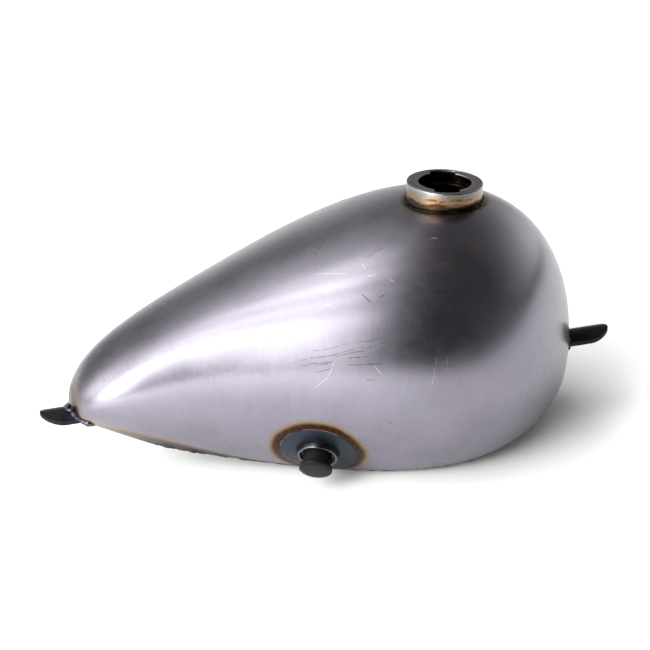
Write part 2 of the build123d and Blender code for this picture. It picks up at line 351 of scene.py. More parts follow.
def slot_cutter(radius):
    outline = channel_outline(radius, BELOW_FLOOR)
    return prism("slot_cutter", outline, -TANK_LENGTH, TANK_LENGTH, lambda y, z, x: (x, y, z))


def drill(origin, axis, radius, reach):
    low, high = -reach, reach
    outline = [(ON_AXIS, low), (radius, low), (radius, high), (ON_AXIS, high)]
    return lathe("drill", outline, origin, axis, steps=128)


# ---- Skins ----
SKIN_COLUMNS = 200
SKIN_ROWS = 96
POLE_GAP = 0.004


def skin_half(name, right):
    u = np.linspace(POLE_GAP, pi - POLE_GAP, SKIN_COLUMNS)
    share = np.linspace(0, 1, SKIN_ROWS)[:, None]
    grids = []
    for inset in (0.0, SHEET):
        bottom = angle_at_rim(u, RIM_SHOWING, inset)
        top = angle_at_strip(u, CROWN_STRIP / 2)
        grid = body_point(u[None, :], bottom + (top - bottom) * share, inset)
        grids.append(mirrored(grid) if right else grid)
    return thick_grid(name, *grids)


slot = slot_cutter(CHANNEL_OUTER + GAP)
neck_drill = drill(neck_foot, neck_axis, NECK_RADIUS + GAP, NECK_DRILL_REACH)
bung_drill = drill(bung_foot, bung_axis, BUNG_RADIUS + GAP, BUNG_DRILL_REACH)
left_skin = cut(skin_half("left_skin", right=False), slot, neck_drill)
right_skin = cut(skin_half("right_skin", right=True), slot, neck_drill, bung_drill)


def crown_strip():
    """The weld along the crown, ground flush with the skins."""
    u = np.linspace(POLE_GAP, pi - POLE_GAP, SKIN_COLUMNS)
    top = angle_at_strip(u, CROWN_STRIP / 2)
    grids = []
    for inset in (0.0, SHEET):
        right = mirrored(body_point(u, top, inset))
        middle = body_point(u, np.full_like(u, pi / 2), inset) * np.array([1, 0, 1])
        grids.append(np.stack([right, middle, body_point(u, top, inset)]))
    return thick_grid("crown_seam", *grids)


crown_seam = cut(crown_strip(), slot, neck_drill)


def whole_form():
    """A plain closed copy of the body, to find where things meet its surface."""
    u = np.linspace(POLE_GAP, pi - POLE_GAP, SKIN_COLUMNS)
    angle = np.linspace(-pi / 2, pi / 2, SKIN_ROWS)[:, None]
    left = body_point(u[None, :], angle)
    points = np.concatenate([left.reshape(-1, 3), mirrored(left).reshape(-1, 3)])
    faces = grid_faces(SKIN_ROWS, SKIN_COLUMNS)
    faces += grid_faces(SKIN_ROWS, SKIN_COLUMNS, start=SKIN_ROWS * SKIN_COLUMNS)
    return BVHTree.FromPolygons([tuple(p) for p in points], faces)


form = whole_form()
JOINT_CLEARANCE = Vector((0, 2e-6, 0))


def on_form(start, direction):
    """Where a ray meets the body, and the outward normal there. The ray keeps off the two halves' joint."""
    place, normal, _, _ = form.ray_cast(start + JOINT_CLEARANCE, direction)
    if normal.dot(direction) > 0:
        normal = -normal
    return place, normal


# ---- Floor trays ----
TRAY_COLUMNS = 180
TRAY_INSET = SHEET + 2 * GAP
TRAY_BEND = 0.0016
TRAY_START = CHANNEL_OUTER + GAP
TRAY_LEAST_WIDTH = 0.0005
TRAY_WALL_ROWS = 12
TRAY_FLOOR_ROWS = 8
TIP_MARGIN = 0.02
SEARCH_SAMPLES = 2000


def tray(name, right):
    u = np.linspace(TIP_MARGIN, pi - TIP_MARGIN, SEARCH_SAMPLES)
    edge = body_point(u, angle_at_rim(u, 0, TRAY_INSET), TRAY_INSET)
    wide = edge[:, 1] > TRAY_START + TRAY_LEAST_WIDTH
    u = np.linspace(u[wide][0], u[wide][-1], TRAY_COLUMNS)
    grids = []
    for inset, lift in ((TRAY_INSET, 0.0), (TRAY_INSET + SHEET, SHEET)):
        rows = []
        high = angle_at_rim(u, RIM_SHOWING + RIM_LAP, inset)
        low = angle_at_rim(u, lift + TRAY_BEND, inset)
        for f in np.linspace(0, 1, TRAY_WALL_ROWS):
            rows.append(body_point(u, high + (low - high) * f, inset))
        wall_foot = rows[-1]
        corner = body_point(u, angle_at_rim(u, lift, inset), inset)
        inner = corner.copy()
        inner[:, 1] = TRAY_START
        inner[:, 2] = underside_height(inner[:, 0]) + lift
        width = corner[:, 1] - TRAY_START
        turn = corner.copy()
        turn[:, 1] -= np.minimum(TRAY_BEND, width * 0.4)
        turn[:, 2] = underside_height(turn[:, 0]) + lift
        for f in (0.25, 0.5, 0.75):
            rows.append(wall_foot * (1 - f) ** 2 + corner * 2 * f * (1 - f) + turn * f**2)
        for f in np.linspace(0, 1, TRAY_FLOOR_ROWS):
            rows.append(turn * (1 - f) + inner * f)
        grid = np.stack(rows)
        grids.append(mirrored(grid) if right else grid)
    return thick_grid(name, *grids)


left_floor = tray("left_floor", right=False)
right_floor = tray("right_floor", right=True)


# ---- Weld beads ----
BEAD_STEPS = 10
RIPPLE = 0.0014
SWELL_SCALE = 160  # noise scales for a bead's width, its wander and its lumps
WANDER_SCALE = 90
LUMP_SCALE = 420
BEAD_SINK = 0.0004


def bead(name, path, outward, width, height, seed, closed=False, rough=0.25, ripple=RIPPLE):
    """A weld bead along a path. It lies across the path's outward vectors, rippled by each dip of the wire.
    Its width and height are numbers, or arrays with a value for each point of the path."""
    path = np.array(path)
    outward = np.array(outward)
    count = len(path)
    width = np.broadcast_to(width, count)
    height = np.broadcast_to(height, count)
    if closed:
        along = np.roll(path, -1, 0) - np.roll(path, 1, 0)
    else:
        along = np.gradient(path, axis=0)
    along /= np.linalg.norm(along, axis=1, keepdims=True)
    outward = outward - along * np.sum(along * outward, 1, keepdims=True)
    outward /= np.linalg.norm(outward, axis=1, keepdims=True)
    side = np.cross(along, outward)
    steps = np.linalg.norm(np.diff(path, axis=0), axis=1)
    travelled = np.concatenate([[0], np.cumsum(steps)])
    total = travelled[-1] + (np.linalg.norm(path[0] - path[-1]) if closed else 0)
    ripple = total / max(1, round(total / ripple))
    points = []
    for i in range(count):
        spot = Vector(path[i])
        swell = 1 + rough * noise.noise(spot * SWELL_SCALE + Vector((seed, 0, 0)))
        wander = rough * 0.3 * width[i] * noise.noise(spot * WANDER_SCALE + Vector((0, seed, 0)))
        ends = 1.0 if closed else min(1.0, 0.35 + min(i, count - 1 - i) / 8)
        for k in range(BEAD_STEPS + 1):
            turn = pi * k / BEAD_STEPS
            phase = (travelled[i] / ripple - 0.45 * sin(turn)) % 1
            scallop = 0.80 + 0.20 * sqrt(max(0.0, 1 - (2 * phase - 1) ** 2))
            lump = 1 + rough * 0.6 * noise.noise(spot * LUMP_SCALE + Vector((k * 0.35, seed, 0)))
            reach = swell * ends
            points.append(
                path[i]
                + side[i] * (cos(turn) * width[i] / 2 * reach * (0.94 + 0.06 * scallop) + wander)
                + outward[i] * (sin(turn) * height[i] * reach * scallop * lump)
            )
        for sign in (-1, 1):
            points.append(path[i] + sign * side[i] * width[i] * 0.3 * ends - outward[i] * BEAD_SINK)
    ring_size = BEAD_STEPS + 3
    faces = grid_faces(count, ring_size, wrap_columns=True)
    if closed:
        last = (count - 1) * ring_size
        for k in range(ring_size):
            n = (k + 1) % ring_size
            faces.append((last + k, last + n, n, k))
    else:
        faces.append(tuple(range(ring_size - 1, -1, -1)))
        faces.append(tuple(range((count - 1) * ring_size, count * ring_size)))
    return make_object(name, points, faces, smooth_angle=60)


SEAM_SAMPLES = 900
SEAM_BEAD_WIDTH = 0.0022
SEAM_BEAD_HEIGHT = 0.0009
SEAM_BEAD_INSET = SHEET * 0.75
SEAM_BEAD_LIFT = RIM_SHOWING - 0.0006
SEAM_BEAD_START = TRAY_START + 0.0012
REAR_BEAD_FROM = -0.05  # the bead is heavier behind this
REAR_BEAD_FULL = -0.14  # and at its heaviest behind this, by these shares
REAR_EXTRA_WIDTH = 0.7
REAR_EXTRA_HEIGHT = 1.3


def seam_bead(name, right, seed):
    u = np.linspace(TIP_MARGIN, pi - TIP_MARGIN, SEARCH_SAMPLES)
    angle = angle_at_rim(u, SEAM_BEAD_LIFT, SEAM_BEAD_INSET)
    wide = body_point(u, angle, SEAM_BEAD_INSET)[:, 1] > SEAM_BEAD_START
    u = np.linspace(u[wide][0], u[wide][-1], SEAM_SAMPLES)
    angle = angle_at_rim(u, SEAM_BEAD_LIFT, SEAM_BEAD_INSET)
    path = body_point(u, angle, SEAM_BEAD_INSET)
    outward = body_normal(u, angle)
    if right:
        path, outward = mirrored(path), mirrored(outward)
    heavier = np.clip((REAR_BEAD_FROM - path[:, 0]) / (REAR_BEAD_FROM - REAR_BEAD_FULL), 0, 1)
    width = SEAM_BEAD_WIDTH * (1 + REAR_EXTRA_WIDTH * heavier)
    height = SEAM_BEAD_HEIGHT * (1 + REAR_EXTRA_HEIGHT * heavier)
    return bead(name, path, outward, width, height, seed, rough=0.5)


left_seam_bead = seam_bead("left_seam_bead", right=False, seed=3.1)
right_seam_bead = seam_bead("right_seam_bead", right=True, seed=7.7)
FOOT_BEAD_SAMPLES = 420
RAY_START = 0.02


def foot_bead(name, foot, axis, radius, width, height, seed):
    """A bead where a round fitting enters the skin."""
    across, up = frame_axes(axis)
    path = []
    outward = []
    for k in range(FOOT_BEAD_SAMPLES):
        turn = 2 * pi * k / FOOT_BEAD_SAMPLES
        radial = across * cos(turn) + up * sin(turn)
        place, normal = on_form(foot + radial * radius + axis * RAY_START, -axis)
        path.append(place)
        outward.append((normal + radial * 0.5).normalized())
    return bead(name, path, outward, width, height, seed, closed=True, rough=0.3)


neck_bead = foot_bead(
    "neck_bead", neck_foot, neck_axis, NECK_RADIUS + 0.0008, width=0.0030, height=0.0013, seed=1.3
)
bung_bead = foot_bead(
    "bung_bead", bung_foot, bung_axis, BUNG_RADIUS + 0.0006, width=0.0022, height=0.0010, seed=5.9
)


# ---- Saddle tabs and the beads over their roots ----
TAB_EDGE = 0.00045
TAB_STRAIGHT_STEPS = 20
TAB_ROUND_STEPS = 40
TAB_ACROSS_STEPS = 33
TAB_TIP_TURN = pi / 2 - 0.03  # the end stops just short of a point
ROOT_RIPPLE = 0.0021
ROOT_SAMPLES = 130


def saddle_tab(name, root, tip):
    towards = 1 if tip > root else -1
    half_width = TAB_RADIUS * sin(TAB_HALF_ANGLE)
    start = tip - towards * TAB_ROUND
    stations = list(np.linspace(root, start, TAB_STRAIGHT_STEPS)[:-1])
    for turn in np.linspace(0, TAB_TIP_TURN, TAB_ROUND_STEPS):
        stations.append(start + towards * TAB_ROUND * sin(turn))
    grids = []
    for radius in (TAB_RADIUS, TUBE_RADIUS):
        grid = []
        for x in stations:
            f = max(0.0, (x - start) * towards / TAB_ROUND)
            reach = np.arcsin(min(0.999, half_width * sqrt(max(0.0, 1 - f * f)) / radius))
            row = []
            for turn in np.linspace(-reach, reach, TAB_ACROSS_STEPS):
                row.append((x, radius * sin(turn), TUBE_AXIS_HEIGHT + radius * cos(turn)))
            grid.append(row)
        grids.append(np.array(grid))
    tab = thick_grid(name, *grids)
    bevel(tab, TAB_EDGE, 3)
    return tab


def bevel(obj, width, segments, angle=40):
    modifier = obj.modifiers.new("bevel", "BEVEL")
    modifier.width = width
    modifier.segments = segments
    modifier.limit_method = "ANGLE"
    modifier.angle_limit = radians(angle)
    modifier.use_clamp_overlap = True
    apply_modifiers(obj)
    smooth(obj, 35)


front_saddle = saddle_tab("front_saddle_tab", FRONT_TIP - TAB_INSERT, FRONT_TIP + FRONT_TAB_REACH)
rear_saddle = saddle_tab("rear_saddle_tab", REAR_TIP + TAB_INSERT, REAR_TIP - REAR_TAB_REACH)


def root_bead(name, towards, lift, width, height, reach, seed, rough):
    """A lumpy bead round the skin's end, over a tab's root."""
    path = []
    outward = []
    for turn in np.linspace(-reach, reach, ROOT_SAMPLES):
        radial = Vector((0, sin(turn), cos(turn)))
        start = Vector((0, 0, TUBE_AXIS_HEIGHT)) + radial * (TAB_RADIUS + lift)
        start.x = MIDDLE + towards * TANK_LENGTH
        place, normal = on_form(start, Vector((-towards, 0, 0)))
        path.append(place)
        outward.append((normal * 0.9 + radial * 0.6).normalized())
    return bead(name, path, outward, width, height, seed, rough=rough, ripple=ROOT_RIPPLE)


front_root = root_bead(
    "front_root_bead", 1, lift=0.0008, width=0.0038, height=0.0018, reach=radians(60), seed=2.2, rough=0.5
)
rear_root = root_bead(
    "rear_root_bead", -1, lift=0.0012, width=0.0058, height=0.0030, reach=radians(63), seed=8.4, rough=0.8
)


# ---- Filler neck ----
COLLAR_INNER = SEAT_RADIUS + RING_SHEET + GAP
collar_outline = rounded(
    [
        (COLLAR_INNER, -NECK_DEPTH),
        (NECK_RADIUS, -NECK_DEPTH),
        (NECK_RADIUS, NECK_HEIGHT, 0.0011),
        (COLLAR_INNER, NECK_HEIGHT, 0.0003),
    ],
    0.0003,
)
filler_collar = lathe("neck_collar", collar_outline, neck_foot, neck_axis, steps=192)

lip_under = NECK_HEIGHT - RING_SHEET
chamber_floor = lip_under - CAM_DEPTH
throat_end = chamber_floor - THROAT_LENGTH
seat_outer = SEAT_RADIUS + RING_SHEET
throat_outer = THROAT_RADIUS + RING_SHEET
ring_outline = rounded(
    [
        (MOUTH_RADIUS, NECK_HEIGHT, 0.0006),
        (seat_outer, NECK_HEIGHT, 0.0006),
        (seat_outer, chamber_floor - RING_SHEET, 0.0008),
        (throat_outer, chamber_floor - RING_SHEET, 0.0004),
        (throat_outer, throat_end, 0.0003),
        (THROAT_RADIUS, throat_end, 0.0003),
        (THROAT_RADIUS, chamber_floor, 0.0010),
        (SEAT_RADIUS, chamber_floor, 0.0004),
        (SEAT_RADIUS, lip_under, 0.0004),
        (MOUTH_RADIUS, lip_under, 0.0003),
    ],
    0.0003,
)
bayonet_ring = lathe("bayonet_seat", ring_outline, neck_foot, neck_axis, steps=192)
NOTCH_STEPS = 12
NOTCH_OVERCUT = 0.001


def notch_cutter():
    """Both notches at once: a bar across the lip, with its ends rounded to the chamber's wall."""
    across, up = frame_axes(neck_axis)
    if across.y < 0:
        across, up = -across, -up
    along = Matrix.Rotation(-NOTCH_TURN, 3, neck_axis) @ across
    beside = neck_axis.cross(along)
    half = asin(NOTCH_WIDTH / 2 / SEAT_RADIUS)
    outline = []
    for start in (-half, pi - half):
        for k in range(NOTCH_STEPS + 1):
            turn = start + 2 * half * k / NOTCH_STEPS
            outline.append((SEAT_RADIUS * cos(turn), SEAT_RADIUS * sin(turn)))
    return prism(
        "notch_cutter",
        outline,
        lip_under - NOTCH_OVERCUT,
        NECK_HEIGHT + NOTCH_OVERCUT,
        lambda a, b, c: neck_foot + along * a + beside * b + neck_axis * c,
    )


notches = notch_cutter()
cut(bayonet_ring, notches)
bevel(bayonet_ring, 0.00025, 2, angle=50)

# ---- Fuel bung and plug ----
bung_outline = rounded(
    [
        (BUNG_BORE, -BUNG_DEPTH),
        (BUNG_RADIUS, -BUNG_DEPTH),
        (BUNG_RADIUS, BUNG_STAND, 0.0007),
        (BUNG_RECESS, BUNG_STAND, 0.0004),
        (BUNG_RECESS, BUNG_STAND - BUNG_RECESS_DEPTH, 0.0003),
        (BUNG_BORE, BUNG_STAND - BUNG_RECESS_DEPTH, 0.0003),
    ],
    0.0003,
)
bung_ring = lathe("bung_ring", bung_outline, bung_foot, bung_axis)

plug_top = PLUG_HEAD_FROM + PLUG_HEAD_THICKNESS
plug_outline = rounded(
    [
        (ON_AXIS, plug_top - 2 * PLUG_WALL, 0),
        (PLUG_SHANK - PLUG_WALL, plug_top - 2 * PLUG_WALL),
        (PLUG_SHANK - PLUG_WALL, -PLUG_DEPTH),
        (PLUG_SHANK, -PLUG_DEPTH),
        (PLUG_SHANK, PLUG_HEAD_FROM - 0.0006, 0.0003),
        (PLUG_HEAD - 0.0004, PLUG_HEAD_FROM, 0.0006),
        (PLUG_HEAD, plug_top - 0.0011, 0.0016),
        (PLUG_HEAD * 0.72, plug_top - 0.0002, 0.003),
        (PLUG_HEAD * 0.3, plug_top, 0.002),
        (ON_AXIS, plug_top, 0),
    ],
    0.0004,
)
storage_plug = lathe("storage_plug", plug_outline, bung_foot, bung_axis)
discard(slot, neck_drill, bung_drill, notches)

# ---- Which piece stands for which part ----
STANDS_FOR = {
    left_skin: "left_shell",
    right_skin: "right_shell",
    crown_seam: "crown_weld",
    left_floor: "left_tray",
    right_floor: "right_tray",
    left_seam_bead: "left_seam_weld",
    right_seam_bead: "right_seam_weld",
    neck_bead: "neck_weld",
    bung_bead: "bung_weld",
    front_saddle: "front_tab",
    rear_saddle: "rear_tab",
    front_root: "front_tab_weld",
    rear_root: "rear_tab_weld",
    filler_collar: "filler_collar",
    bayonet_ring: "bayonet_ring",
    bung_ring: "fuel_bung",
    storage_plug: "bung_plug",
}
for piece, cad_node in STANDS_FOR.items():
    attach(piece, "plug" if piece is storage_plug else "tank")
    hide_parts(cad_node)

# ---- Camera ----
CAMERA_AZIMUTH = radians(14.36)
CAMERA_ELEVATION = radians(24.49)
TANK_PITCH = radians(2.6)  # the camera sees the tank's front raised by this
CAMERA_DISTANCE = 1.4206
CAMERA_RIGHT = 0.00036
CAMERA_UP = 0.03497
LENS = 98.03
SENSOR = 36.0


def place_camera():
    az, el = CAMERA_AZIMUTH, CAMERA_ELEVATION
    right = Vector((cos(az), -sin(az), 0))
    forward = Vector((sin(az) * cos(el), cos(az) * cos(el), -sin(el)))
    up = right.cross(forward)
    place = forward * -CAMERA_DISTANCE + right * CAMERA_RIGHT + up * CAMERA_UP
    level = Matrix.Rotation(TANK_PITCH, 3, "Y")
    axes = level @ Matrix((right, up, -forward)).transposed()
    camera = bpy.data.objects.new("camera", bpy.data.cameras.new("camera"))
    camera.data.lens = LENS
    camera.data.sensor_width = SENSOR
    camera.data.clip_start = 0.05
    camera.data.clip_end = 100
    stand = level @ place + Vector((MIDDLE, 0, TIP_HEIGHT))
    camera.matrix_world = Matrix.Translation(stand) @ axes.to_4x4()
    bpy.context.scene.collection.objects.link(camera)
    bpy.context.scene.camera = camera


place_camera()

# ---- Node helpers. A value is a number, a tuple or another node's output ----
def feed(tree, socket, value):
    if isinstance(value, bpy.types.NodeSocket):
        tree.links.new(value, socket)
    elif isinstance(value, tuple):
        socket.default_value = value[: len(socket.default_value)]
    else:
        socket.default_value = value


def node(tree, kind, values=(), **settings):
    made = tree.nodes.new(kind)
    for name, value in settings.items():
        setattr(made, name, value)
    for key, value in dict(values).items():
        feed(tree, made.inputs[key], value)
    return made


def calc(tree, operation, *values, clamp=False):
    made = node(tree, "ShaderNodeMath", enumerate(values), operation=operation, use_clamp=clamp)
    return made.outputs[0]


def times(tree, first, second):
    return calc(tree, "MULTIPLY", first, second)


def shifted(tree, value, by, amount):
    """The value plus by times amount."""
    return calc(tree, "ADD", value, times(tree, by, amount))


def centred(tree, level):
    return calc(tree, "SUBTRACT", level, 0.5)


def calc_vector(tree, operation, *values):
    made = node(tree, "ShaderNodeVectorMath", enumerate(values), operation=operation)
    return made.outputs["Value" if operation in ("DOT_PRODUCT", "LENGTH", "DISTANCE") else "Vector"]


def fade(tree, value, start, end, low=0.0, high=1.0):
    """Goes smoothly from low at start to high at end. Start may be the larger."""
    if start > end:
        start, end, low, high = end, start, high, low
    values = {"Value": value, "From Min": start, "From Max": end, "To Min": low, "To Max": high}
    return node(tree, "ShaderNodeMapRange", values, interpolation_type="SMOOTHSTEP").outputs[0]


def blend(tree, factor, first, second):
    """Mix of two colours."""
    made = node(tree, "ShaderNodeMix", {"Factor": factor}, data_type="RGBA")
    feed(tree, made.inputs[6], first)
    feed(tree, made.inputs[7], second)
    return made.outputs[2]


def grain(tree, place, scale, detail=2.0, roughness=0.5, distortion=0.0):
    values = {"Vector": place, "Scale": scale, "Detail": detail}
    values.update({"Roughness": roughness, "Distortion": distortion})
    return node(tree, "ShaderNodeTexNoise", values).outputs[0]


def distance(tree, place, spot):
    return calc_vector(tree, "DISTANCE", place, tuple(spot))


def new_material(name):
    material = bpy.data.materials.new(name)
    material.use_nodes = True
    tree = material.node_tree
    shader = tree.nodes["Principled BSDF"]
    place = node(tree, "ShaderNodeTexCoord").outputs["Object"]
    return material, tree, shader, place


def finish_shader(tree, shader, colour, roughness, relief=None, metallic=1.0):
    """Feeds a shader its colour, its roughness and its relief in metres."""
    feed(tree, shader.inputs["Base Color"], colour)
    feed(tree, shader.inputs["Roughness"], roughness)
    shader.inputs["Metallic"].default_value = metallic
    if relief is not None:
        made = node(tree, "ShaderNodeBump", {"Strength": 1.0, "Distance": 1.0, "Height": relief})
        tree.links.new(made.outputs[0], shader.inputs["Normal"])


def brighter(tree, colour, factor):
    """A colour or another vector times a number."""
    return node(tree, "ShaderNodeVectorMath", {0: colour, 3: factor}, operation="SCALE").outputs[0]


def heated(tree, colour, away, bands):
    """Heat colours over a colour, by the distance away. Each band is (from, full, strength, colour)."""
    for start, full, strength, tint in bands:
        colour = blend(tree, fade(tree, away, start, full, 0, strength), colour, tint)
    return colour


# ---- Sheet steel of the skins ----
STEEL = (0.236, 0.219, 0.266, 1)
SLATE = (0.032, 0.042, 0.060, 1)
BROWN = (0.036, 0.016, 0.010, 1)
AMBER = (0.16, 0.070, 0.018, 1)
STRAW = (0.24, 0.165, 0.080, 1)
SCALE_LINE = (0.30, 0.20, 0.18, 1)
WARM_STAIN = (0.36, 0.27, 0.26, 1)
SCRATCH_DARK = (0.012, 0.011, 0.014, 1)
SCRATCH_BRIGHT = (0.75, 0.73, 0.76, 1)
SPECK = (0.07, 0.06, 0.07, 1)

# Heat bands by the distance from a fitting or a tip, and for the seam by the share of the tint's reach
BUNG_HEAT = ((0.0420, 0.0378, 0.55, STRAW), (0.0385, 0.0355, 1, AMBER))
BUNG_BROWN = (0.0368, 0.0340)
BUNG_SLATE = (0.0302, 0.0290)
BUNG_LINE_RADIUS = 0.0297
REAR_TIP_HEAT = ((0.030, 0.021, 0.45, AMBER), (0.022, 0.016, 0.85, BROWN))
FRONT_TIP_HEAT = ((0.028, 0.020, 0.55, STRAW), (0.022, 0.016, 0.85, BROWN))
NECK_HEAT = ((0.0385, 0.0345, 0.6, STRAW), (0.0355, 0.0325, 0.9, BROWN))
SEAM_TINT_REACH = 0.0165
WARM_SPOT = (0.078, -0.072, 0.180)
FLAT_MAP_SCALE = 0.1  # metres on the flat map for each radian


def scratch_group():
    """Mask of one scratch, from Start to End on the skin's flat map."""
    tree = bpy.data.node_groups.new("scratch", "ShaderNodeTree")
    face = tree.interface
    face.new_socket("Place", in_out="INPUT", socket_type="NodeSocketVector")
    face.new_socket("Start", in_out="INPUT", socket_type="NodeSocketVector")
    face.new_socket("Run", in_out="INPUT", socket_type="NodeSocketVector")
    face.new_socket("Width", in_out="INPUT", socket_type="NodeSocketFloat")
    face.new_socket("Mask", in_out="OUTPUT", socket_type="NodeSocketFloat")
    given = tree.nodes.new("NodeGroupInput").outputs
    away = calc_vector(tree, "SUBTRACT", given["Place"], given["Start"])
    run = given["Run"]
    share = calc(
        tree,
        "DIVIDE",
        calc_vector(tree, "DOT_PRODUCT", away, run),
        calc_vector(tree, "DOT_PRODUCT", run, run),
        clamp=True,
    )
    nearest = brighter(tree, run, share)
    off = calc_vector(tree, "LENGTH", calc_vector(tree, "SUBTRACT", away, nearest))
    thinner = calc(tree, "SUBTRACT", 1.15, calc(tree, "ABSOLUTE", centred(tree, share)))
    width = times(tree, given["Width"], thinner)
    mask = calc(tree, "SUBTRACT", 1.0, calc(tree, "DIVIDE", off, width), clamp=True)
    result = tree.nodes.new("NodeGroupOutput")
    tree.links.new(mask, result.inputs["Mask"])
    return tree


# Scratches on the right-hand skin, in millimetres on its flat map: x, and 100 times the angle in radians
# above the level line through the tips. Each is (x, s, x, s, width).
DARK_SCRATCHES = [
    (-46, 55.4, -14, 55.6, 0.30),
    (-14, 55.6, 14, 56.7, 0.30),
    (-46, 51.8, -27, 51.5, 0.30),
    (-37, 59.7, -12, 60.2, 0.22),
    (-6, 60.0, 15, 59.4, 0.25),
    (-35, 50.3, -24, 51.2, 0.42),
    (-14, 51.1, 1, 50.9, 0.38),
    (-14, 47.2, 10, 45.1, 0.30),
    (-2, 46.4, 9, 45.6, 0.38),
    (-36, 46.1, -26, 46.6, 0.28),
    (-22, 54.0, 1, 54.5, 0.30),
    (-2, 36.4, 7, 35.4, 0.28),
    (18, 112.5, 24, 115.6, 0.30),
    (24, 115.6, 31, 116.0, 0.26),
    (42, 85, 55, 78, 0.28),
    (55, 78, 62, 78.5, 0.45),
    (29, 54, 36, 55, 0.35),
    (36, 55.4, 42, 56.5, 0.45),
    (48, 66, 56, 59, 0.26),
    (4, 88, 11, 79, 0.40),
    (16, 82, 21, 83, 0.36),
    (-9, 160, -6, 146, 0.45),
    (-6, 146, -16, 132, 0.40),
]
BRIGHT_SCRATCHES = [
    (-38, 34.8, -28, 42, 0.30),
    (-28, 42, -23, 51, 0.30),
    (50, 44.6, 45, 28.6, 0.30),
    (-22, 113.4, -1, 104.6, 0.34),
    (66, 115, 71, 113, 0.60),
    (12, 109, 12, 104, 0.42),
    (26, 92, 29, 90, 0.45),
    (12, 98, 18, 98, 0.35),
    (4, 45, 10, 38, 0.45),
    (58, 44, 56, 36, 0.26),
]


def scratches(tree, place, marks, group):
    found = None
    for x0, s0, x1, s1, width in marks:
        made = node(tree, "ShaderNodeGroup")
        made.node_tree = group
        feed(tree, made.inputs["Place"], place)
        made.inputs["Start"].default_value = (x0 / 1000, s0 / 1000, 0)
        made.inputs["Run"].default_value = ((x1 - x0) / 1000, (s1 - s0) / 1000, 0)
        made.inputs["Width"].default_value = width / 1000
        found = made.outputs[0] if found is None else calc(tree, "MAXIMUM", found, made.outputs[0])
    return found


def hairs(tree, place, scale, thin, seed):
    """Long thin curved lines."""
    moved = calc_vector(tree, "ADD", place, (seed, -seed, seed * 0.5))
    level = grain(tree, moved, scale, detail=1.5, distortion=0.8)
    return fade(tree, calc(tree, "ABSOLUTE", centred(tree, level)), thin, 0.0)


